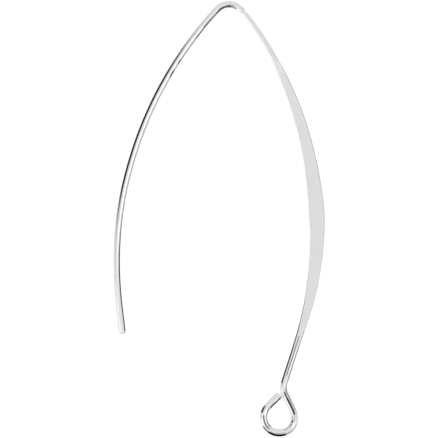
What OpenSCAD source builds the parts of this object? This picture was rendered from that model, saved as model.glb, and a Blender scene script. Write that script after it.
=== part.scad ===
// Marquise ear wire: one length of round wire, bent in one plane and lying flat.
// It runs from the rounded tip up the back limb, over the crown and down the front
// limb, which is pressed into a flat blade, then through a straight neck and a kink
// into the eye, whose cut end butts against the eye's own leg.
// Millimetres and degrees. +X points from the back limb to the blade, +Y from the eye
// to the crown. The origin is the middle of the wire's outline, on the surface that
// the wire lies on. Every radius of a bend is to the middle of the wire.

/* [Wire] */
// Diameter of the round wire
wire_d = 0.7; // [0.5:0.05:0.9]

/* [Crown] */
// Radius of the bend over the ear
crown_r = 1.66; // [1.2:0.02:2.6]
// Angle turned from the top of the crown to the back limb
crown_back_angle = 47; // [42:0.5:52]
// Angle turned from the top of the crown to the front limb
crown_front_angle = 51.4; // [46:0.1:56]

/* [Back limb] */
// Radius of the back limb's bow
back_bow_r = 39.3; // [35:0.1:46]
// Angle turned by the back limb's bow
back_bow_angle = 49.5; // [40:0.5:56]
// Straight run below the bow, up to the round of the tip
tip_run = 2.5; // [1.5:0.1:5]

/* [Front limb] */
// Radius of the front limb's bow, which the blade follows
front_bow_r = 36.3; // [32:0.1:42]
// Angle turned by the front limb's bow
front_bow_angle = 56; // [50:0.5:62]
// Width of the blade at its widest
blade_w = 1.65; // [1.2:0.05:2.4]
// Straight neck from the blade to the kink
neck_l = 5.9; // [3:0.1:8]

/* [Eye] */
// Radius of the kink above the eye
kink_r = 1.7; // [1.2:0.05:2.4]
// Angle turned by the kink
kink_angle = 44; // [38:0.5:50]
// Straight leg from the kink to the ring
eye_leg = 1.75; // [1.4:0.05:2.4]
// Radius of the ring
eye_r = 1.64; // [1.4:0.02:2.2]
// Angle turned by the ring
eye_angle = 251.5; // [244:0.5:258]
// Gap between the wire's cut end and the leg beside it
eye_gap = 0.06; // [0.04:0.01:0.2]

/* [Hidden] */
$fa = 2;
$fs = 0.08;

wire_r = wire_d / 2;
wire_area = PI * pow(wire_r, 2);

// Every second stretch of the wire is this much thinner all round and runs this far
// into its neighbours, so that the wire is one piece
inset = 0.005;
tuck = 0.03;

// The wire's stretches, from the tip to the end of the ring. A stretch is [size, turn]:
// a straight of that length where the turn is 0, else a bend of that radius, which
// turns to the left where the turn is positive
tip = [tip_run, 0];
back_bow = [back_bow_r, -back_bow_angle];
crown = [crown_r, -(crown_back_angle + crown_front_angle)];
front_bow = [front_bow_r, -front_bow_angle];
neck = [neck_l, 0];
kink = [kink_r, kink_angle];
leg = [eye_leg, 0];
ring = [eye_r, -eye_angle];

function size_of(stretch) = stretch[0];
function turn_of(stretch) = stretch[1];
function length_of(stretch) =
    turn_of(stretch) == 0
    ? size_of(stretch)
    : size_of(stretch) * abs(turn_of(stretch)) * PI / 180;

// A pose is [point, heading]
function point(pose) = pose[0];
function heading(pose) = pose[1];
function ahead(angle) = [cos(angle), sin(angle)];
function left(angle) = [-sin(angle), cos(angle)];

// The pose at a share of a stretch's length
function along(pose, stretch, share = 1) =
    let (
        size = size_of(stretch),
        side = sign(turn_of(stretch)),
        end = heading(pose) + share * turn_of(stretch)
    )
    side == 0
    ? [point(pose) + share * size * ahead(end), end]
    : [point(pose) + side * size * (left(heading(pose)) - left(end)), end];

// Where each stretch starts
tip_pose = [[0, 0], back_bow_angle + crown_back_angle];
back_bow_pose = along(tip_pose, tip);
crown_pose = along(back_bow_pose, back_bow);
front_bow_pose = along(crown_pose, crown);
neck_pose = along(front_bow_pose, front_bow);
kink_pose = along(neck_pose, neck);
leg_pose = along(kink_pose, kink);
ring_pose = along(leg_pose, leg);
cut_pose = along(ring_pose, ring);

// The cut leg runs on from the ring until a corner of its square end is as near to
// the first leg as the gap says
cut_angle = heading(cut_pose) - heading(leg_pose);
cut_reach = (point(leg_pose) - point(cut_pose)) * left(heading(leg_pose)) - wire_r - eye_gap;
cut_leg = (cut_reach - wire_r * abs(cos(cut_angle))) / sin(cut_angle);

// Sections of the blade, from the crown to the neck: the share of the blade's length
// where each one is, its share of the gain in width, and the share of it that is flat
place_shares = [0.00, 0.03, 0.18, 0.27, 0.38, 0.50, 0.58, 0.65, 0.71, 0.80, 0.90, 0.96, 1.00];
gain_shares = [0.00, 0.00, 0.00, 0.22, 0.50, 0.70, 0.90, 1.00, 0.86, 0.69, 0.43, 0.20, 0.00];
flat_shares = [0.00, 0.40, 0.52, 0.60, 0.70, 0.78, 0.83, 0.86, 0.83, 0.79, 0.68, 0.50, 0.00];
// Rings of points along the blade, and steps round each of its two rounded edges
blade_rings = 60;
edge_steps = 10;

// A column of the sections at a share of the blade's length, by cubics that pass
// through every value and never swing past one
function rise(column, i) =
    (column[i + 1] - column[i]) / (place_shares[i + 1] - place_shares[i]);
function slope(column, i) =
    i == 0 || i == len(column) - 1
    ? 0
    : let (
        before = rise(column, i - 1),
        after = rise(column, i)
    )
    before * after > 0 ? 2 * before * after / (before + after) : 0;
function section_at(share, i = 0) =
    i == len(place_shares) - 2 || share < place_shares[i + 1] ? i : section_at(share, i + 1);
function value_at(column, share) =
    let (
        i = section_at(share),
        run = place_shares[i + 1] - place_shares[i],
        u = (share - place_shares[i]) / run
    )
    column[i] * (1 + 2 * u) * pow(1 - u, 2)
    + column[i + 1] * (3 - 2 * u) * pow(u, 2)
    + run * slope(column, i) * u * pow(1 - u, 2)
    - run * slope(column, i + 1) * (1 - u) * pow(u, 2);

// One ring of points round the blade, flat above and below between two rounded edges.
// Pressing only moves the metal, so each section keeps the area of the round wire, and
// its thickness follows from its width and its flat
function blade_ring(share) =
    let (
        pose = along(front_bow_pose, front_bow, share),
        tucked = share < 0 || share > 1,
        width = tucked ? wire_d - 2 * inset : wire_d + value_at(gain_shares, share) * (blade_w - wire_d),
        flat = tucked ? 0 : width * value_at(flat_shares, share),
        edge = (width - flat) / 2,
        thickness = tucked ? width : wire_area / (flat + edge * PI / 2)
    )
    [
        for (side = [1, -1], step = [0 : edge_steps])
            let (
                angle = step * 180 / edge_steps - 90,
                across = side * (flat / 2 + edge * cos(angle)),
                place = point(pose) + across * left(heading(pose))
            )
            [place[0], place[1], side * thickness / 2 * sin(angle)]
    ];

blade_tuck = tuck / length_of(front_bow);
blade_points = [
    each blade_ring(-blade_tuck),
    for (i = [1 : blade_rings - 1]) each blade_ring(i / blade_rings),
    each blade_ring(1 + blade_tuck)
];

// The middle of the outline, which the finished wire is moved by
round_stretches = [
    [tip_pose, tip],
    [back_bow_pose, back_bow],
    [crown_pose, crown],
    [neck_pose, neck],
    [kink_pose, kink],
    [leg_pose, leg],
    [ring_pose, ring]
];
middle_line = [
    for (posed = round_stretches, share = [0 : 0.01 : 1])
        point(along(posed[0], posed[1], share))
];
function lowest(k) =
    min(min([for (p = middle_line) p[k]]) - wire_r, min([for (p = blade_points) p[k]]));
function highest(k) =
    max(max([for (p = middle_line) p[k]]) + wire_r, max([for (p = blade_points) p[k]]));
middle = [for (k = [0, 1]) (lowest(k) + highest(k)) / 2];

module at_pose(pose) {
    translate([point(pose)[0], point(pose)[1], 0])
        rotate([0, 0, heading(pose)])
            children();
}

module straight(pose, length) {
    at_pose(pose)
        rotate([0, 90, 0])
            cylinder(r = wire_r, h = length);
}

// A bend, made longer at each end by the share of its length that is extra
module bend(pose, stretch, radius, extra = 0) {
    start = along(pose, stretch, -extra);
    turn = turn_of(stretch) * (1 + 2 * extra);
    centre = point(start) + sign(turn) * size_of(stretch) * left(heading(start));
    at_pose([centre, heading(start) - 90 * sign(turn) + min(turn, 0)])
        rotate_extrude(angle = abs(turn))
            translate([size_of(stretch), 0])
                circle(r = radius);
}

// A thinner bend that runs into the stretches before and after it
module tucked_bend(pose, stretch) {
    bend(pose, stretch, wire_r - inset, tuck / length_of(stretch));
}

module rounded_tip() {
    at_pose(tip_pose)
        rotate([0, 90, 0])
            sphere(r = wire_r - inset);
}

module blade() {
    sides = 2 * (edge_steps + 1);
    polyhedron(
        points = blade_points,
        faces = concat(
            [[for (k = [0 : sides - 1]) k]],
            [[for (k = [sides - 1 : -1 : 0]) blade_rings * sides + k]],
            [
                for (i = [0 : blade_rings - 1], k = [0 : sides - 1])
                    let (
                        next = (k + 1) % sides,
                        near = i * sides,
                        far = near + sides
                    )
                    each [[near + k, far + k, far + next], [near + k, far + next, near + next]]
            ]
        )
    );
}

module ear_wire() {
    color("silver")
        translate([-middle[0], -middle[1], wire_r])
            union() {
                rounded_tip();
                straight(tip_pose, tip_run);
                tucked_bend(back_bow_pose, back_bow);
                bend(crown_pose, crown, wire_r);
                blade();
                straight(neck_pose, neck_l);
                tucked_bend(kink_pose, kink);
                straight(leg_pose, eye_leg);
                tucked_bend(ring_pose, ring);
                straight(cut_pose, cut_leg);
            }
}

ear_wire();
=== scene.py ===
# %% [markdown]
# # Ear wire
#
# The object is a marquise ear wire: about nine centimetres of round silver wire, bent in
# one plane into an open almond. One end is rounded, because it goes through the ear. The
# front limb is pressed into a flat blade, and the foot is bent round into an eye that a
# drop hangs from.
#
# The construction model is already in the scene as plain, exact geometry. This notebook
# gives the same wire the surface that a polished one has. All lengths are in metres, in
# the model's own frame: x points from the back limb to the blade, y from the eye to the
# crown, and z up from the surface that the wire lies on.

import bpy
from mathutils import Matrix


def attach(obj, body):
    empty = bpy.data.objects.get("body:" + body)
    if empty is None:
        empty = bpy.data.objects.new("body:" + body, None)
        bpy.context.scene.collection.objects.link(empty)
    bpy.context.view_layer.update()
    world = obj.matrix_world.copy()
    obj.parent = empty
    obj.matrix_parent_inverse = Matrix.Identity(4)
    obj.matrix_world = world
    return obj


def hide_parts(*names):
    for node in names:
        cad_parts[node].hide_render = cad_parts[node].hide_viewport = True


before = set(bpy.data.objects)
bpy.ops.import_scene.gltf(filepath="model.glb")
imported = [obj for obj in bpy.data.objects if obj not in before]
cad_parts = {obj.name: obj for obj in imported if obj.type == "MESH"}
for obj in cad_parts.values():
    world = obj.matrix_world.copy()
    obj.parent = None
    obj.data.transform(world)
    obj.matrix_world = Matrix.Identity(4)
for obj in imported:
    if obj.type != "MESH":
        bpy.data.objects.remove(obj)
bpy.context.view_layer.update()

# %% Tools and units
import bpy
import numpy as np

MM = 0.001
MICRON = 1e-6

# %% [markdown]
# ## The middle line of the wire
#
# A wire former bends a straight wire over round pins, so the middle line is a chain of
# straights and circular arcs. Along each of them the curvature is constant, which gives a
# closed formula: after a run u at curvature k, the chord is u * sin(k u / 2) / (k u / 2)
# long and points along the heading at half the run. A straight is the case k = 0, and
# `np.sinc` covers it without a special case.

# %% Stretches, from the rounded tip to the cut end
wire_r = 0.35 * MM
stretches = {                     # length or radius in mm, turn to the left in degrees
    "tip": (2.5, 0.0),
    "back bow": (39.3, -49.5),
    "crown": (1.66, -98.4),
    "front bow": (36.3, -56.0),
    "neck": (5.9, 0.0),
    "kink": (1.7, 44.0),
    "leg": (1.75, 0.0),
    "ring": (1.64, -251.5),
    "cut leg": (1.72865, 0.0),
}
start_point = np.array([-10.1927, -11.7808]) * MM
start_heading = np.radians(96.5)

lengths_or_radii, turns = np.array(list(stretches.values())).T
turns = np.radians(turns)
lengths = np.where(turns == 0, lengths_or_radii, lengths_or_radii * np.abs(turns)) * MM
curvatures = turns / lengths
starts = np.concatenate([[0], np.cumsum(lengths)])
wire_length = starts[-1]
begins, spans = dict(zip(stretches, starts)), dict(zip(stretches, lengths))
print(f"wire length {wire_length / MM:.2f} mm in {len(lengths)} stretches")


# %% A run along one stretch
def ahead(heading):
    """Unit vectors along a heading."""
    return np.stack([np.cos(heading), np.sin(heading)], axis=-1)


def leftward(heading):
    """Unit vectors a quarter turn to the left of a heading."""
    return np.stack([-np.sin(heading), np.cos(heading)], axis=-1)


def run(point, heading, curvature, u):
    """Points and headings after a run u at constant curvature: the chord has the length
    u * sinc(k u / 2 pi) and points along the heading at half the run."""
    chord = u * np.sinc(curvature * u / (2 * np.pi))
    half = heading + curvature * u / 2
    return point + chord[..., None] * ahead(half), heading + curvature * u


# %% The whole chain
start_points, start_headings = [start_point], [start_heading]
for curvature, length in zip(curvatures, lengths):
    point, heading = run(start_points[-1], start_headings[-1], curvature, np.array(length))
    start_points.append(point)
    start_headings.append(heading)
start_points, start_headings = np.array(start_points), np.array(start_headings)


def middle_line(s):
    """Points and headings of the middle line at the distances s from the tip."""
    i = np.clip(np.searchsorted(starts, s, side="right") - 1, 0, len(lengths) - 1)
    return run(start_points[i], start_headings[i], curvatures[i], s - starts[i])


print("cut end at", (start_points[-1] / MM).round(3), "mm")

# %% [markdown]
# ## The sections
#
# The blade is pressed between two flat dies while the rest of the wire stays round.
# Pressing moves the metal and loses none, so each section keeps the area of the round
# wire: what it gains in width it loses in thickness. A section is a flat band between two
# elliptical edges. At the crown end the die bites in abruptly and on the outer side
# first, so the band starts narrow and off the middle; at the other end it dies out slowly
# along the neck.

# %% Sections of the blade and the neck
blade_start, blade_length = begins["front bow"], spans["front bow"]
blade_width = 1.65 * MM
bite_length = 0.5 * MM            # run in which the die bites in at the crown end
places, gains, flats, inner_shares = np.array([
    # share of the blade's length, share of the gain in width, flat share of the width,
    # share of the rounding on the inner side
    [0.00, 0.00, 0.30, 0.93],
    [0.03, 0.00, 0.36, 0.93],
    [0.10, 0.00, 0.50, 0.90],
    [0.18, 0.00, 0.64, 0.80],
    [0.23, 0.17, 0.74, 0.62],
    [0.29, 0.30, 0.82, 0.52],
    [0.38, 0.51, 0.88, 0.50],
    [0.47, 0.64, 0.90, 0.50],
    [0.53, 0.76, 0.92, 0.50],
    [0.59, 0.91, 0.93, 0.50],
    [0.65, 1.00, 0.94, 0.50],
    [0.71, 0.86, 0.93, 0.50],
    [0.80, 0.67, 0.92, 0.50],
    [0.86, 0.54, 0.90, 0.50],
    [0.92, 0.33, 0.86, 0.50],
    [0.97, 0.16, 0.78, 0.50],
    [1.02, 0.03, 0.55, 0.50],
    [1.08, 0.00, 0.34, 0.50],
    [1.16, 0.00, 0.22, 0.50],
    [1.20, 0.00, 0.00, 0.50],
]).T

# %% [markdown]
# A wire bent by hand is never quite the arc it was meant to be. The table below says how
# far it strays: to the left of its way, and how much wider the tools have squeezed it.

# %% Where the wire strays
stray_places, to_left, squeezed = np.array([
    [begins[name] + share * spans[name], left * MM, wider * MM]
    for name, share, left, wider in [
        # stretch, share of its length, way to the left in mm, gain in width in mm
        ("tip", 0.00, -0.020, 0.030),
        ("back bow", 0.03, -0.010, 0.010),
        ("back bow", 0.10, 0.010, 0.000),
        ("back bow", 0.18, 0.030, 0.000),
        ("back bow", 0.35, 0.035, 0.000),
        ("back bow", 0.48, 0.000, 0.000),
        ("back bow", 0.78, 0.000, 0.000),
        ("back bow", 0.86, 0.020, 0.000),
        ("crown", 0.50, 0.038, 0.000),
        ("front bow", 0.00, 0.010, 0.000),
        ("front bow", 0.03, 0.030, 0.000),
        ("front bow", 0.10, 0.052, 0.000),
        ("front bow", 0.19, 0.062, 0.000),
        ("front bow", 0.235, 0.014, 0.000),
        ("front bow", 0.29, -0.006, 0.000),
        ("front bow", 0.38, -0.030, 0.000),
        ("front bow", 0.47, -0.060, 0.000),
        ("front bow", 0.54, -0.055, 0.000),
        ("front bow", 0.65, 0.005, 0.000),
        ("front bow", 0.71, 0.045, 0.000),
        ("front bow", 0.80, 0.050, 0.000),
        ("front bow", 0.90, 0.062, 0.000),
        ("front bow", 0.99, 0.032, 0.000),
        ("neck", 0.50, 0.008, 0.000),
        ("neck", 0.90, -0.008, 0.015),
        ("leg", 0.00, 0.000, 0.010),
        ("leg", 0.55, 0.018, 0.030),
        ("ring", 0.04, 0.014, 0.030),
        ("ring", 0.12, 0.014, 0.035),
        ("ring", 0.19, 0.046, 0.080),
        ("ring", 0.27, 0.075, 0.085),
        ("ring", 0.35, 0.060, 0.060),
        ("ring", 0.43, 0.010, 0.095),
        ("ring", 0.50, -0.010, 0.095),
        ("ring", 0.58, 0.000, 0.030),
        ("ring", 0.70, -0.025, 0.045),
        ("ring", 0.95, -0.040, 0.040),
        ("cut leg", 0.40, -0.030, 0.065),
        ("cut leg", 1.00, -0.030, 0.075),
    ]
]).T


# %% [markdown]
# The tables give values at a few places. Between them a wire changes smoothly, so cubics
# join the values, and they are kept from swinging past one, as a looser curve would.

# %% Curves through a table
def smooth_column(places, column, x):
    """Values of a column at x: piecewise cubics through every value, with slopes that
    never let them swing past one, and level at both ends."""
    rise = np.diff(column) / np.diff(places)
    before, after = rise[:-1], rise[1:]
    both = before * after > 0
    middle = np.where(both, 2 * before * after / np.where(both, before + after, 1), 0)
    slopes = np.concatenate([[0], middle, [0]])
    x = np.clip(x, places[0], places[-1])
    i = np.clip(np.searchsorted(places, x, side="right") - 1, 0, len(places) - 2)
    gap = places[i + 1] - places[i]
    u = (x - places[i]) / gap
    return (
        column[i] * (1 + 2 * u) * (1 - u) ** 2
        + column[i + 1] * (3 - 2 * u) * u**2
        + gap * slopes[i] * u * (1 - u) ** 2
        - gap * slopes[i + 1] * (1 - u) * u**2
    )


def ease(low, high, x):
    """0 below low, 1 above high, and the cubic 3t^2 - 2t^3 between them."""
    t = np.clip((x - low) / (high - low), 0, 1)
    return t * t * (3 - 2 * t)


# %% A section at any distance
def sections(s):
    """Width, flat band, inner edge, outer edge and thickness at the distances s. The area
    is thickness * (flat + rest * pi / 4), and it is always that of the round wire."""
    share = (s - blade_start) / blade_length
    bite = ease(0, bite_length, s - blade_start)
    width = 2 * wire_r + smooth_column(places, gains, share) * (blade_width - 2 * wire_r)
    width = width + smooth_column(stray_places, squeezed, s)
    flat = width * smooth_column(places, flats, share) * bite
    rest = width - flat
    inner = rest * (0.5 + bite * (smooth_column(places, inner_shares, share) - 0.5))
    outer = rest - inner
    thickness = np.pi * wire_r**2 / (flat + rest * np.pi / 4)
    return width, flat, inner, outer, thickness


width, *_, thickness = sections(np.linspace(blade_start, begins["neck"], 400))
print(f"blade: widest {width.max() / MM:.2f} mm, thinnest {thickness.min() / MM:.3f} mm")

# %% [markdown]
# ## The surface of the wire
#
# The surface is a grid: one row of points round the wire at each station along it. The
# rows lie closer together in the tight bends and where the die bites in, because one sees
# a polished surface by its reflections, and those jump where the rows are too far apart.

# %% Stations along the wire
row_gap = 0.16 * MM
fine_gap = 0.045 * MM             # in the crown and the kink
ring_gap = 1.3 * fine_gap
rim_r = 0.08 * MM                 # rounding of the cut end's rim
last_station = wire_length - rim_r
even_rows = np.linspace(0, wire_length, int(wire_length / row_gap))
bend_rows = np.concatenate([
    np.arange(begins["crown"], blade_start + 2 * bite_length, fine_gap),
    np.arange(begins["kink"], begins["leg"], fine_gap),
    np.arange(begins["ring"], begins["cut leg"], ring_gap),
])
stations = np.concatenate([even_rows, bend_rows, starts[:-1], [last_station]])
stations = np.unique(stations.round(9))
far_enough = np.diff(stations) > 0.2 * fine_gap
stations = stations[np.concatenate([[True], far_enough])]
stations = stations[stations <= last_station]
print(len(stations), "rows along the wire")

# %% [markdown]
# A few more rows close each end and shrink towards one point. At the tip they follow half
# an ellipse, because the filed dome is a little longer than half a ball, and at the cut
# end a quarter circle, which takes the sharp rim off.

# %% Rows that close the two ends
dome_length = 0.39 * MM
dome_steps = np.radians(np.arange(3, 90, 6))
rim_steps = np.radians(np.arange(15, 91, 15))
rim_scale = 1 - rim_r / wire_r * (1 - np.cos(rim_steps))
row_s = np.concatenate([
    -dome_length * np.cos(dome_steps), stations, last_station + rim_r * np.sin(rim_steps)
])
row_scale = np.concatenate([np.sin(dome_steps), np.ones(len(stations)), rim_scale])
print(len(dome_steps), "rows close the tip and", len(rim_steps), "the cut end")

# %% [markdown]
# Hand tools leave the wire a little uneven. The edge of the pliers' jaw scores it along
# its top: deeply on the eye's leg, lightly on the neck and on the far side of the ring.
# It also left two short nicks on the inner side of the back limb. The material paints each
# score nearly black, as painted shade for the shade that gathers in a groove. A score is real
# depth in the mesh, so that it also shows in a side light, and a table of them is easier to
# read than painted marks.

# %% Scores
score_depth = 5 * MICRON
score_end = 0.12 * MM             # half the run in which a score starts or dies out
score_table = [
    # where it starts and ends, as a stretch and mm into it; its places across the wire
    # there and its spread, as shares of the half width; and its strength
    ("neck", 0.70, "kink", -0.80, -0.04, 0.00, 0.14, 0.70),
    ("kink", 0.90, "leg", 0.50, 0.16, 0.09, 0.24, 0.85),
    ("leg", 0.35, "ring", 0.50, 0.09, 0.04, 0.28, 1.00),
    ("ring", 0.45, "ring", 1.25, 0.05, 0.10, 0.20, 0.34),
    ("ring", 4.45, "ring", 6.15, -0.13, -0.10, 0.17, 0.80),
    ("ring", 1.10, "ring", 1.42, -0.40, -0.46, 0.18, 1.00),
    ("ring", 1.60, "ring", 1.80, -0.56, -0.56, 0.15, 0.80),
    ("back bow", 25.25, "back bow", 26.10, -0.66, -0.66, 0.18, 0.95),
    ("back bow", 26.85, "back bow", 27.50, -0.66, -0.66, 0.18, 0.80),
]


def scores(s, share):
    """How deep in a score the top of the wire is, from 0 to 1, at distance s and at a
    share of the half width to the left of the middle. A score is a Gaussian across the
    wire, with soft ends along it."""
    deepest = np.zeros(np.broadcast(s, share).shape)
    for first, first_mm, last, last_mm, first_place, last_place, spread, strength in score_table:
        start, end = begins[first] + first_mm * MM, begins[last] + last_mm * MM
        done = np.clip((s - start) / (end - start), 0, 1)
        away = share - (first_place + done * (last_place - first_place))
        along = ease(start - score_end, start + score_end, s)
        along = along * (1 - ease(end - score_end, end + score_end, s))
        deepest = np.maximum(deepest, strength * along * np.exp(-((away / spread) ** 2)))
    return deepest


# %% [markdown]
# Round-nose pliers hold the wire where it is bent into the crown, the kink and the eye, so
# there the surface has a few shallow flats. The rest waves by about a thousandth of a
# millimetre, because it ran over a former and through fingers. Such waves are too shallow
# to see as a shape, but they keep a long reflection from looking ruled.

# %% Dents and waves
dent_table = [
    # stretch, mm into it, turn round the wire in degrees, length in mm, spread in
    # degrees, depth in thousandths of a millimetre
    ("kink", 0.50, 200, 0.30, 26, 4.0),
    ("leg", 0.30, 20, 0.35, 24, 3.5),
    ("ring", 1.00, 165, 0.22, 20, 5.0),
    ("ring", 1.55, 150, 0.16, 18, 5.0),
    ("ring", 3.10, 60, 0.40, 28, 3.5),
    ("ring", 5.00, 125, 0.35, 18, 4.5),
    ("ring", 6.20, 20, 0.35, 24, 4.0),
    ("crown", 0.90, 130, 0.40, 26, 3.0),
    ("front bow", -0.50, 150, 0.25, 24, 4.0),
]
wave_height = 0.6 * MICRON
waves = [(0.9, 0.0), (1.7, 1.3), (4.1, 0.4)]    # mm per radian, and the shift in radians


def dents(s, angle):
    """Depth in metres that tools have pushed the surface in, at distance s and angle
    round the section: soft dents at fixed places, each a Gaussian in s and in angle, and
    a slow waviness made of sines of the distance."""
    depth = wave_height * sum(1 + np.sin(s / (length * MM) + shift) for length, shift in waves)
    for name, into, turn, length, spread, deep in dent_table:
        along = (s - begins[name] - into * MM) / (length * MM)
        away = (np.degrees(angle) - turn + 180) % 360 - 180
        depth = depth + deep * MICRON * np.exp(-(along**2) - (away / spread) ** 2)
    return depth


# %% [markdown]
# Now the surface itself, as one function of the distance along the wire and the angle
# round it. At each distance a section, made smaller by the tool marks, stands upright
# across the middle line.

# %% The surface as a formula
band_turn = np.radians(4.0)       # turn on either side of upright that the flat band takes


def section_points(s, angle):
    """Points of the sections: how far each one is to the left and up, as shares of half
    the width and half the thickness. The flat band takes the few degrees on either side
    of the top and of the bottom, and outside it run an inner and an outer half-ellipse."""
    width, flat, inner, outer, _ = (value[:, None] for value in sections(s))
    reach = np.cos(angle)
    across = (inner - outer) / 2 + flat / 2 * np.clip(reach / np.sin(band_turn), -1, 1)
    across = across + np.where(reach >= 0, outer, inner) * reach
    return across / (width / 2), np.sin(angle)


def wire_surface(s, scale, angle):
    """The wire's surface at distances s (one row each) and angles round it: the sections,
    made smaller by the depth of the tool marks and carried along the middle line."""
    on_wire = np.clip(s, 0, wire_length)
    points, headings = middle_line(on_wire)
    points = points + (s - on_wire)[:, None] * ahead(headings)
    width, *_, thickness = sections(on_wire)
    share, rise = section_points(on_wire, angle)
    depth = score_depth * scores(s[:, None], share) * (rise > 0) + dents(s[:, None], angle)
    shrink = scale[:, None] * (1 - depth / wire_r)
    across = share * shrink * width[:, None] / 2
    across = across + smooth_column(stray_places, to_left, on_wire)[:, None]
    height = wire_r + rise * shrink * thickness[:, None] / 2
    flat_points = points[:, None, :] + across[..., None] * leftward(headings)[:, None, :]
    return np.concatenate([flat_points, height[..., None]], axis=-1)


# %% The grid of points
round_columns, band_columns = 41, 7
quarter = np.pi / 2
one_side = np.linspace(band_turn - quarter, quarter - band_turn, round_columns)
on_band = np.linspace(quarter - band_turn, quarter + band_turn, band_columns + 2)[1:-1]
half_turn = np.concatenate([one_side, on_band])
angles = np.concatenate([half_turn, half_turn + np.pi])
grid = wire_surface(row_s, row_scale, angles[None, :])
print("grid", grid.shape, "lowest", round(grid[..., 2].min() / MM, 4), "mm")

# %% [markdown]
# The band is one wide strip between two columns of points, so averaged normals would make
# it look like a pillow. The true normal is at right angles to the surface's two
# directions, and small steps of the same formula give both of them.


# %% True normals
def small_step(way, scale, turn):
    """How far every point of the grid moves over a small step both ways in the distance,
    the scale and the angle."""
    after = wire_surface(row_s + way, row_scale + scale, angles[None, :] + turn)
    before = wire_surface(row_s - way, row_scale - scale, angles[None, :] - turn)
    return after - before


small_way, small_turn = 1e-3 * MM, 1e-4
round_way = small_step(0, 0, small_turn)
long_way = small_step(small_way, small_way * np.gradient(row_scale, row_s), 0)
normals = np.cross(round_way, long_way)
normals /= np.linalg.norm(normals, axis=-1, keepdims=True)

on_blade = np.abs(row_s - (begins["neck"] - 8 * MM)) < 5 * MM
on_top = normals[on_blade][:, round_columns:round_columns + band_columns]
print("least upright normal of the blade's band:", on_top[..., 2].min().round(4))

# %% [markdown]
# The mesh is built from whole arrays. Its UV map is the wire rolled out: u is the
# distance along the wire and v the distance round it, both in millimetres, so that lines
# drawn along the wire stay parallel to it through every bend.

# %% A closed tube over the grid
dome_peak = 0.02                  # how far the tip's last point stands out, as a share of
                                  # the gap between the rows before it


def fan_uv(u, middle_v, second_v, third_v):
    """The rolled-out map of a fan at one u: the three corners of each triangle in turn."""
    u = np.full_like(middle_v, u)
    return np.stack([u, middle_v, u, second_v, u, third_v], axis=-1).reshape(-1, 2)


def tube_faces(rows, sides):
    """Quads between neighbouring rows of points, and a fan at each end to a last point,
    whose numbers follow those of the grid."""
    i, j = np.meshgrid(np.arange(rows - 1), np.arange(sides), indexing="ij")
    k = (j + 1) % sides
    near, far = i * sides, (i + 1) * sides
    quads = np.stack([near + j, near + k, far + k, far + j], axis=-1).reshape(-1, 4)
    j, k, last_row = j[0], k[0], (rows - 1) * sides
    first_fan = np.stack([np.full(sides, rows * sides), k, j], axis=-1)
    last_fan = np.stack([np.full(sides, rows * sides + 1), last_row + j, last_row + k], axis=-1)
    return quads.tolist() + first_fan.tolist() + last_fan.tolist()


def closed_tube(name, grid, normals, s, around):
    """A mesh over a grid of rows, closed at both ends. `normals` are those of the grid's
    points, `s` is each row's u and `around` the v at each side and once more at the full
    turn."""
    rows, sides = grid.shape[:2]
    centres = grid.mean(axis=1)
    peak = centres[0] + dome_peak * (centres[0] - centres[1])
    verts = np.concatenate([grid.reshape(-1, 3), [peak, centres[-1]]])
    mesh = bpy.data.meshes.new(name)
    mesh.from_pydata(verts.tolist(), [], tube_faces(rows, sides))

    here, there = around[:-1], around[1:]
    u0, u1 = (np.broadcast_to(u[:, None], (rows - 1, sides)) for u in (s[:-1], s[1:]))
    v0, v1 = (np.broadcast_to(v, (rows - 1, sides)) for v in (here, there))
    quad_uv = np.stack([u0, v0, u0, v1, u1, v1, u1, v0], axis=-1).reshape(-1, 2)
    first_uv, last_uv = fan_uv(s[0], here, there, here), fan_uv(s[-1], here, here, there)
    uv = np.concatenate([quad_uv, first_uv, last_uv]) / MM
    mesh.uv_layers.new(name="rolled_out").data.foreach_set("uv", uv.astype(np.float32).ravel())

    mesh.polygons.foreach_set("use_smooth", np.ones(len(mesh.polygons), dtype=bool))
    end_normals = [normals[0].mean(axis=0), normals[-1].mean(axis=0)]
    all_normals = np.concatenate([normals.reshape(-1, 3), end_normals])
    mesh.normals_split_custom_set_from_vertices(all_normals.tolist())
    mesh.update()
    return mesh


# %% The wire
around = np.concatenate([angles - angles[0], [2 * np.pi]]) * wire_r
mesh = closed_tube("polished_ear_wire", grid, normals, row_s, around)
wire = bpy.data.objects.new("polished_ear_wire", mesh)
bpy.context.scene.collection.objects.link(wire)
print(len(mesh.polygons), "faces")

# %% [markdown]
# The finish differs from place to place, so the mesh carries three numbers per point:
# `pressed` is 1 on the blade's flat band and 0 on the round wire, `scored` is 1 at the
# bottom of a score and 0 outside, and `worked` is 1 where the pliers took off the gloss,
# along the neck and the kink, and less on the ring.

# %% Point attributes
on_wire = np.clip(row_s, 0, wire_length)
_, flat, inner, outer, _ = sections(on_wire)
band_share = (flat / (flat + inner + outer))[:, None]
upright = np.abs(np.sin(angles))[None, :]
pressed = ease(0.35, 0.95, upright) * ease(0.1, 0.45, band_share)

share, rise = section_points(on_wire, angles[None, :])
# The depth of the scores also sets where the material paints shade into them.
scored = scores(row_s[:, None], share) * (rise > 0)

neck_start, leg_start, ring_start = begins["neck"], begins["leg"], begins["ring"]
on_neck = ease(neck_start - 2 * MM, neck_start + 1 * MM, row_s)
on_neck = on_neck * (1 - ease(leg_start - 0.6 * MM, leg_start, row_s))
on_ring = 0.3 * ease(ring_start, ring_start + 1 * MM, row_s)
worked = np.broadcast_to((on_neck + on_ring)[:, None], pressed.shape)

for name, values in (("pressed", pressed), ("scored", scored), ("worked", worked)):
    at_points = np.concatenate([values.ravel(), [0, 0]]).astype(np.float32)
    mesh.attributes.new(name, "FLOAT", "POINT").data.foreach_set("value", at_points)
print("share of points on the pressed band:", round(float((pressed > 0.5).mean()), 3))

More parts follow.
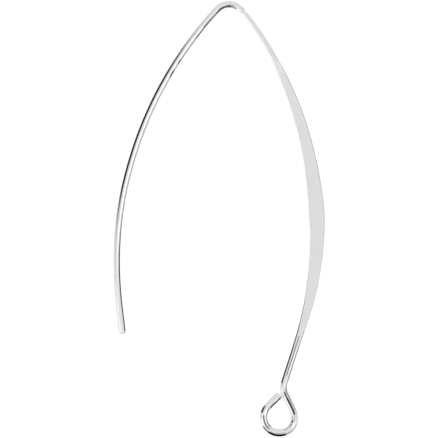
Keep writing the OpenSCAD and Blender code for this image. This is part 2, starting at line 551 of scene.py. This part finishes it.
# %% [markdown]
# ## The finish
#
# Silver wire is drawn through a die, which leaves very fine lines along it, and is then
# tumbled bright. Tumbling closes the lines almost wholly, but it leaves short random
# scratches and a faint unevenness of the gloss. The blade was pressed after drawing, so
# its face has the die's own longer lines. Each effect is a node group with named inputs
# and outputs, so that it can be reused, and the outputs only feed sockets that may vary
# over the surface.


# %% Node groups
def node_group(name, inputs, outputs):
    """An empty shader node group with its input and output nodes; each socket is
    (name, kind) or (name, kind, default)."""
    group = bpy.data.node_groups.new(name, "ShaderNodeTree")
    for direction, sockets in (("INPUT", inputs), ("OUTPUT", outputs)):
        for label, kind, *default in sockets:
            socket = group.interface.new_socket(
                name=label, in_out=direction, socket_type="NodeSocket" + kind
            )
            if default:
                socket.default_value = default[0]
    return group, group.nodes.new("NodeGroupInput"), group.nodes.new("NodeGroupOutput")


def use(tree, group, **values):
    """A node that uses a group, with its inputs set to numbers or linked to sockets; its
    outputs."""
    node = tree.nodes.new("ShaderNodeGroup")
    node.node_tree = group
    for label, value in values.items():
        socket = node.inputs[label.replace("_", " ")]
        if isinstance(value, bpy.types.NodeSocket):
            tree.links.new(value, socket)
        else:
            socket.default_value = value
    return node.outputs


# %% Nodes for textures and sums
def noise(tree, vector, scale, detail=2.0, roughness=0.5):
    """A noise texture that reads the given vector socket; its value socket."""
    node = tree.nodes.new("ShaderNodeTexNoise")
    tree.links.new(vector, node.inputs["Vector"])
    node.inputs["Scale"].default_value = scale
    node.inputs["Detail"].default_value = detail
    node.inputs["Roughness"].default_value = roughness
    return node.outputs["Fac"]


def remap(tree, value, from_low, from_high, to_low, to_high, smooth=False):
    """A map-range node between two ranges; its result socket."""
    node = tree.nodes.new("ShaderNodeMapRange")
    node.interpolation_type = "SMOOTHSTEP" if smooth else "LINEAR"
    tree.links.new(value, node.inputs["Value"])
    ends = {"From Min": from_low, "From Max": from_high, "To Min": to_low, "To Max": to_high}
    for label, number in ends.items():
        node.inputs[label].default_value = number
    return node.outputs["Result"]


def calc(tree, operation, *values):
    """A maths node; each value is a number or a socket."""
    node = tree.nodes.new("ShaderNodeMath")
    node.operation = operation
    for socket, value in zip(node.inputs, values):
        if isinstance(value, (int, float)):
            socket.default_value = value
        else:
            tree.links.new(value, socket)
    return node.outputs[0]


def stretched(tree, vector, factors):
    """A vector socket multiplied by three factors."""
    node = tree.nodes.new("ShaderNodeVectorMath")
    node.operation = "MULTIPLY"
    tree.links.new(vector, node.inputs[0])
    node.inputs[1].default_value = factors
    return node.outputs[0]


def mixed(tree, factor, first, second):
    """A colour between the first, where the factor is 0, and the second, where it is 1."""
    node = tree.nodes.new("ShaderNodeMix")
    node.data_type = "RGBA"
    for label, value in (("Factor", factor), ("A", first), ("B", second)):
        tree.links.new(value, node.inputs[label])
    return node.outputs["Result"]


# %% [markdown]
# Lines along the wire: noise on the rolled-out map, squeezed hard in v, so that it varies
# quickly round the wire and slowly along it.

# %% Lines along the wire
lines, given, made = node_group(
    "Lines along the wire",
    [("Rolled out", "Vector"), ("Per mm", "Float", 30.0), ("Length mm", "Float", 6.0)],
    [("Height", "Float")],
)
split = lines.nodes.new("ShaderNodeSeparateXYZ")
join = lines.nodes.new("ShaderNodeCombineXYZ")
lines.links.new(given.outputs["Rolled out"], split.inputs[0])
along = calc(lines, "DIVIDE", split.outputs["X"], given.outputs["Length mm"])
across = calc(lines, "MULTIPLY", split.outputs["Y"], given.outputs["Per mm"])
lines.links.new(along, join.inputs["X"])
lines.links.new(across, join.inputs["Y"])
height = noise(lines, join.outputs[0], 1.0, detail=3.0, roughness=0.6)
lines.links.new(height, made.inputs["Height"])

# %% [markdown]
# Tumbling scratches: the edges of large stretched cells are long thin lines that cross at
# all angles. Two layers turned against each other keep them from looking like a net, and
# a cloud of noise breaks each line into short ones.

# %% Short scratches
scratches, given, made = node_group(
    "Tumbling scratches", [("Place", "Vector"), ("Per mm", "Float", 3.0)], [("Mask", "Float")]
)
masks = []
for angle, squeeze in ((0.5, 0.16), (2.1, 0.22)):
    turn = scratches.nodes.new("ShaderNodeVectorRotate")
    turn.rotation_type = "Z_AXIS"
    turn.inputs["Angle"].default_value = angle
    scratches.links.new(given.outputs["Place"], turn.inputs["Vector"])
    cells = scratches.nodes.new("ShaderNodeTexVoronoi")
    cells.feature = "DISTANCE_TO_EDGE"
    long_cells = stretched(scratches, turn.outputs[0], (squeeze, 1.0, 1.0))
    scratches.links.new(long_cells, cells.inputs["Vector"])
    scratches.links.new(given.outputs["Per mm"], cells.inputs["Scale"])
    line = remap(scratches, cells.outputs["Distance"], 0.0, 0.012, 1.0, 0.0)
    cloud = noise(scratches, given.outputs["Place"], 1.3, detail=1.0)
    kept = remap(scratches, cloud, 0.5, 0.62, 0.0, 1.0)
    masks.append(calc(scratches, "MULTIPLY", line, kept))
scratches.links.new(calc(scratches, "MAXIMUM", *masks), made.inputs["Mask"])

# %% [markdown]
# The tone of silver drifts a little: in a soft cloud of places the metal has a trace of
# tarnish, a shade darker and warmer than the bright metal.

# %% Tone of the metal
bright, dull = (0.93, 0.925, 0.91, 1), (0.89, 0.88, 0.855, 1)
tone, given, made = node_group(
    "Silver tone",
    [("Place", "Vector"), ("Bright", "Color", bright), ("Dull", "Color", dull)],
    [("Color", "Color"), ("Dullness", "Float")],
)
cloud = noise(tone, given.outputs["Place"], 0.9, detail=4.0, roughness=0.55)
dullness = remap(tone, cloud, 0.5, 0.8, 0.0, 1.0, smooth=True)
color = mixed(tone, dullness, given.outputs["Bright"], given.outputs["Dull"])
tone.links.new(color, made.inputs["Color"])
tone.links.new(dullness, made.inputs["Dullness"])

# %% [markdown]
# Painted shade in the scores: a near-black colour laid over the metal for the shade that a
# groove gathers. It covers the metal the more the deeper the score is, in small grains rather
# than as an even coat.

# %% Painted shade in the scores
grain_share = 0.35                # how much the grains add to the depth or take from it
# Painted shade: the near-black colour below stands for the shade that gathers in a score.
score_shade, given, made = node_group(
    "Painted shade in scores",
    [("Color", "Color"), ("Place", "Vector"), ("Score", "Float"),
     ("Paste", "Color", (0.03, 0.03, 0.03, 1))],
    [("Color", "Color"), ("Cover", "Float")],
)
grains = noise(score_shade, given.outputs["Place"], 14.0, detail=2.0)
grains = calc(score_shade, "MULTIPLY", calc(score_shade, "SUBTRACT", grains, 0.5), grain_share)
depth = calc(score_shade, "ADD", given.outputs["Score"], grains)
cover = remap(score_shade, depth, 0.12, 0.65, 0.0, 1.0)
in_score = remap(score_shade, given.outputs["Score"], 0.02, 0.12, 0.0, 1.0)
cover = calc(score_shade, "MULTIPLY", cover, in_score)
color = mixed(score_shade, cover, given.outputs["Color"], given.outputs["Paste"])
score_shade.links.new(color, made.inputs["Color"])
score_shade.links.new(cover, made.inputs["Cover"])

# %% [markdown]
# The material puts the groups together. It starts with the metal itself, its colour and
# what the patterns read: places in millimetres, the rolled-out map and the attributes.


# %% Polished silver
def empty_material(name):
    """A material with nothing but its output: the material, its tree and the socket."""
    material = bpy.data.materials.new(name)
    material.use_nodes = True
    tree = material.node_tree
    tree.nodes.clear()
    output = tree.nodes.new("ShaderNodeOutputMaterial")
    return material, tree, output.inputs["Surface"]


def attribute(tree, name):
    """The socket that reads a number of the mesh's points."""
    node = tree.nodes.new("ShaderNodeAttribute")
    node.attribute_name = name
    return node.outputs["Fac"]


silver, tree, surface = empty_material("polished_silver")
shader = tree.nodes.new("ShaderNodeBsdfPrincipled")
shader.inputs["Metallic"].default_value = 1.0
tree.links.new(shader.outputs[0], surface)

coordinates = tree.nodes.new("ShaderNodeTexCoord")
place = stretched(tree, coordinates.outputs["Object"], (1 / MM,) * 3)
uv_map = tree.nodes.new("ShaderNodeUVMap")
uv_map.uv_map = "rolled_out"
rolled_out = uv_map.outputs["UV"]

metal = use(tree, tone, Place=place)
drawn = use(tree, lines, Rolled_out=rolled_out, Per_mm=34.0, Length_mm=5.0)["Height"]
rolled = use(tree, lines, Rolled_out=rolled_out, Per_mm=13.0, Length_mm=9.0)["Height"]
marks = use(tree, scratches, Place=place, Per_mm=2.2)["Mask"]
# The scores' painted shade darkens the base colour of the silver here.
shaded_metal = use(tree, score_shade, Color=metal["Color"], Place=place, Score=attribute(tree, "scored"))
tree.links.new(shaded_metal["Color"], shader.inputs["Base Color"])

# %% [markdown]
# Roughness stays low, because the wire is mirror-bright, and rises a little in the lines,
# the scratches and the dull places, and more in the scores' painted shade and where the pliers
# worked.

# %% Roughness
roughness = 0.085                 # of the cleanest metal
for effect, added in (
    (metal["Dullness"], 0.06),
    (drawn, 0.03),
    (marks, 0.12),
    (shaded_metal["Cover"], 0.30),
    (attribute(tree, "worked"), 0.07),
):
    roughness = calc(tree, "ADD", roughness, calc(tree, "MULTIPLY", effect, added))
tree.links.new(roughness, shader.inputs["Roughness"])

# %% [markdown]
# The bump is a fraction of a micrometre high: enough to break up a reflection, too little
# to see as a shape. The longer lines are only on the pressed band.

# %% Bump
drawn_share, marks_share = 0.5, 0.8
height = calc(tree, "MULTIPLY", drawn, drawn_share)
pressed_lines = calc(tree, "MULTIPLY", rolled, attribute(tree, "pressed"))
height = calc(tree, "ADD", height, pressed_lines)
height = calc(tree, "SUBTRACT", height, calc(tree, "MULTIPLY", marks, marks_share))
bump = tree.nodes.new("ShaderNodeBump")
bump.inputs["Strength"].default_value = 0.35
bump.inputs["Distance"].default_value = 0.6 * MICRON
tree.links.new(height, bump.inputs["Height"])
tree.links.new(bump.outputs[0], shader.inputs["Normal"])

mesh.materials.append(silver)
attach(wire, "root")
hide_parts("ear_wire")
print(len(tree.nodes), "nodes in the material of the wire")

# %% [markdown]
# ## The studio
#
# A bright round wire shows the whole room in a strip as wide as itself, so the light is
# what gives it its shape. The room here is a light tent: pale all round, whiter to the
# left and overhead on the right, greyer at the right and at the bottom, with one dark
# opening at the upper left, which draws the dark line down the outer edge of the back
# limb. Each of them is a soft patch, given by where it is and how wide it is, and laid
# over those before it. One group makes them all.

# %% How far a direction is from the patch
patch, given, made = node_group(
    "Soft patch of the tent",
    [("Direction", "Vector"), ("Before", "Float"), ("Toward", "Vector"),
     ("Half width", "Float"), ("Side softness", "Float"), ("Highest", "Float"),
     ("Top softness", "Float"), ("Lowest", "Float"), ("Level", "Float")],
    [("Level", "Float")],
)
inside = given.outputs
level_way = stretched(patch, inside["Direction"], (1, 1, 0))
unit = patch.nodes.new("ShaderNodeVectorMath")
unit.operation = "NORMALIZE"
patch.links.new(level_way, unit.inputs[0])
meet = patch.nodes.new("ShaderNodeVectorMath")
meet.operation = "DOT_PRODUCT"
patch.links.new(unit.outputs[0], meet.inputs[0])
patch.links.new(inside["Toward"], meet.inputs[1])
cosine = calc(patch, "MAXIMUM", meet.outputs["Value"], -1.0)
aside = calc(patch, "ARCCOSINE", calc(patch, "MINIMUM", cosine, 1.0))
parts = patch.nodes.new("ShaderNodeSeparateXYZ")
patch.links.new(inside["Direction"], parts.inputs[0])
down = calc(patch, "ARCCOSINE", parts.outputs["Z"])


# %% How much the patch covers there
def soft_step(value, edge, softness):
    """1 below the edge and 0 above edge + softness."""
    t = calc(patch, "DIVIDE", calc(patch, "SUBTRACT", value, edge), softness)
    return remap(patch, t, 0.0, 1.0, 1.0, 0.0, smooth=True)


foot_softness = 0.35              # radians
sides = soft_step(aside, inside["Half width"], inside["Side softness"])
top = soft_step(down, inside["Highest"], inside["Top softness"])
foot = soft_step(down, inside["Lowest"], foot_softness)
cover = calc(patch, "MULTIPLY", calc(patch, "SUBTRACT", 1.0, top), foot)
cover = calc(patch, "MULTIPLY", sides, cover)
change = calc(patch, "SUBTRACT", inside["Level"], inside["Before"])
change = calc(patch, "MULTIPLY", cover, change)
patch.links.new(calc(patch, "ADD", inside["Before"], change), made.inputs["Level"])

# %% [markdown]
# Angles are in degrees: the azimuth counts from the right of the picture towards its top,
# and the other angles count down from straight overhead. The level is the radiance, 1
# being white.

# %% The tent
world = bpy.data.worlds.new("light_tent")
bpy.context.scene.world = world
world.use_nodes = True
tree = world.node_tree
tree.nodes.clear()
coordinates = tree.nodes.new("ShaderNodeTexCoord")
level = 0.77                      # of the tent's plain cloth
for azimuth, half_width, side_soft, highest, top_soft, lowest, radiance in [
    (-158, 24, 22, 14, 24, 160, 1.06),    # white wall on the left
    (176, 16, 22, 75, 25, 170, 0.80),     # its foot
    (-20, 12, 14, 1, 7, 46, 1.20),        # white corner overhead on the right
    (-18, 28, 22, 52, 30, 160, 0.52),     # its lower part in shade
    (19, 19, 10, 52, 44, 160, 0.45),      # shaded side at the right
    (20, 18, 10, 84, 14, 170, 0.30),      # its foot
    (6, 6, 10, 80, 14, 170, 0.04),        # the darkest part of it
    (157, 11, 12, 20, 35, 150, 0.50),     # shade round the opening at the upper left
    (177, 4, 8, 26, 14, 58, 0.52),        # its upper left corner
    (158, 9, 9, 36, 24, 122, 0.01),       # opening at the upper left
    (-80, 20, 24, 30, 50, 175, 0.42),     # shade at the bottom
    (-115, 8, 8, 50, 20, 170, 0.42),      # its darker left end
    (-98, 10, 14, 3, 24, 55, 0.42),       # and its upper part
]:
    turned = np.radians(azimuth)
    level = use(
        tree, patch, Direction=coordinates.outputs["Generated"], Before=level,
        Toward=(np.cos(turned), np.sin(turned), 0), Half_width=np.radians(half_width),
        Side_softness=np.radians(side_soft), Highest=np.radians(highest),
        Top_softness=np.radians(top_soft), Lowest=np.radians(lowest), Level=radiance,
    )["Level"]

# %% [markdown]
# The camera itself sees plain white round the page, and only light and reflections see
# the tent.

# %% White for the camera, the tent for everything else
white_level = 1.05
path = tree.nodes.new("ShaderNodeLightPath")
seen = tree.nodes.new("ShaderNodeMix")
tree.links.new(path.outputs["Is Camera Ray"], seen.inputs["Factor"])
tree.links.new(level, seen.inputs["A"])
seen.inputs["B"].default_value = white_level
background = tree.nodes.new("ShaderNodeBackground")
tree.links.new(seen.outputs["Result"], background.inputs["Color"])
output = tree.nodes.new("ShaderNodeOutputWorld")
tree.links.new(background.outputs[0], output.inputs["Surface"])
print(len(tree.nodes), "nodes in the tent")

# %% [markdown]
# The wire lies on a white page that is lit so brightly that its shadow almost vanishes.
# The camera sees the page; the wire's own reflections see the tent beyond it.


# %% The page
def flat_object(name, corners, material):
    """A flat object of one face with one material, which faces where its corners run
    anticlockwise."""
    mesh = bpy.data.meshes.new(name)
    mesh.from_pydata(corners, [], [(0, 1, 2, 3)])
    mesh.materials.append(material)
    placed = bpy.data.objects.new(name, mesh)
    bpy.context.scene.collection.objects.link(placed)
    return placed


def choice(tree, factor, first, second):
    """A mix-shader node: the first shader where the factor is 0, the second where 1."""
    node = tree.nodes.new("ShaderNodeMixShader")
    for socket, value in zip(node.inputs, (factor, first, second)):
        tree.links.new(value, socket)
    return node.outputs[0]


half_page = 0.75
paper, tree, surface = empty_material("white_page")
matt = tree.nodes.new("ShaderNodeBsdfDiffuse")
matt.inputs["Color"].default_value = (0.95, 0.95, 0.95, 1)
glow = tree.nodes.new("ShaderNodeEmission")
glow.inputs["Strength"].default_value = 0.5
both = tree.nodes.new("ShaderNodeAddShader")
tree.links.new(matt.outputs[0], both.inputs[0])
tree.links.new(glow.outputs[0], both.inputs[1])
clear = tree.nodes.new("ShaderNodeBsdfTransparent")
path = tree.nodes.new("ShaderNodeLightPath")
by_camera = path.outputs["Is Camera Ray"]
tree.links.new(choice(tree, by_camera, clear.outputs[0], both.outputs[0]), surface)

corners = [(x * half_page, y * half_page, 0.0) for x, y in ((-1, -1), (1, -1), (1, 1), (-1, 1))]
page = flat_object("page", corners, paper)

# %% [markdown]
# A tent alone shades the crown and the eye alike. Jewellery is lit with scraps of card as
# well, black ones and white ones, which stand a few millimetres from the place that they
# are for. Only reflections see these, and only from the side that a card faces, so a card
# that is meant for one limb doesn't darken the other.


# %% Scraps of card
def one_sided(name, radiance):
    """A glowing material that is clear from behind."""
    material, tree, surface = empty_material(name)
    glow = tree.nodes.new("ShaderNodeEmission")
    glow.inputs["Strength"].default_value = radiance
    clear = tree.nodes.new("ShaderNodeBsdfTransparent")
    behind = tree.nodes.new("ShaderNodeNewGeometry").outputs["Backfacing"]
    tree.links.new(choice(tree, behind, glow.outputs[0], clear.outputs[0]), surface)
    return material


cards = [
    # middle in mm, the way it faces in degrees, its width and heights in mm, its radiance
    ("crown_left", 3.15, 17.65, 135, 2.2, -6.0, 5.0, 0.05),
    ("crown_middle", 1.04, 18.88, 128, 1.29, -6.0, 3.9, 0.09),
    ("right_of_back_limb_high", 0.696, 19.375, 170.5, 2.485, -6.0, 1.6, 0.32),
    ("right_of_back_limb_middle", 0.395, 17.575, 170.5, 1.165, -6.0, 1.6, 0.20),
    ("right_of_back_limb_low", 0.084, 15.72, 170.5, 2.6, -6.0, 1.6, 0.38),
    ("below_tip", -9.9, -14.6, 96.5, 3.4, -2.5, 3.5, 0.95),
    ("inside_eye_right_low", 6.65, -21.24, 0, 0.75, -0.9, 0.5, 0.80),
    ("inside_eye_right_high", 6.65, -21.24, 0, 0.75, 0.5, 1.8, 0.50),
    ("inside_eye_left_a", 7.19, -20.30, 180, 0.64, -6.0, 1.00, 0.00),
    ("inside_eye_left_b", 7.19, -20.86, 180, 0.48, -6.0, 0.50, 0.08),
    ("inside_eye_left_c", 7.19, -21.26, 180, 0.32, -6.0, 1.10, 0.24),
    ("inside_eye_left_d", 7.19, -21.61, 180, 0.38, -6.0, 1.90, 0.28),
    ("inside_eye_left_high", 7.21, -20.84, 180, 1.9, 0.2, 2.15, 1.10),
    ("below_cut_leg_near", 6.165, -20.035, 135, 0.80, -3.0, 1.18, 0.09),
    ("below_cut_leg_far", 6.70, -19.50, 135, 0.71, -3.0, 0.90, 0.00),
    ("right_of_eye", 11.3, -20.75, 180, 3.7, -3.0, 9.0, 0.78),
    ("right_of_eye_leg", 11.3, -18.05, 180, 1.7, -3.0, 4.5, 0.55),
    ("left_of_eye", 2.5, -20.55, 0, 1.3, -3.0, 3.5, 0.78),
    ("left_of_kink", 5.0, -17.3, 0, 0.9, -3.0, 1.2, 0.80),
    ("below_eye", 5.69, -25.24, 82.5, 4.6, -14.0, 3.5, 0.0),
    ("lower_left_of_eye", 2.6, -24.25, 43, 2.2, -3.0, 3.5, 0.24),
    ("right_of_neck", 10.6, -15.3, 163, 5.5, -3.0, 0.25, 0.17),
]
for name, x, y, toward, width, lowest, highest, radiance in cards:
    sideways = leftward(np.radians(toward)) * width / 2
    near, far = np.array([x, y]) - sideways, np.array([x, y]) + sideways
    corners = [(*near, lowest), (*far, lowest), (*far, highest), (*near, highest)]
    corners = (np.array(corners) * MM).tolist()
    card = flat_object("card_" + name, corners, one_sided("card_" + name, radiance))
    card.visible_camera = card.visible_diffuse = False
    card.visible_shadow = card.visible_transmission = False
print(len(cards), "scraps of card")

# %% [markdown]
# The camera looks straight down through a long lens, so that the wire shows its true
# outline.

# %% Camera
view_width = 45.99 * MM
picture_middle = (0.0, -0.037 * MM)
camera_height = 0.6               # above the middle of the wire
lens = bpy.data.cameras.new("camera")
lens.sensor_width = 36.0
lens.lens = lens.sensor_width * camera_height / view_width
lens.clip_start, lens.clip_end = 0.01, 10.0
camera = bpy.data.objects.new("camera", lens)
camera.location = (*picture_middle, camera_height + wire_r)
bpy.context.scene.collection.objects.link(camera)
bpy.context.scene.camera = camera
bpy.context.scene.view_settings.view_transform = "Standard"
print(f"lens {lens.lens:.0f} mm")
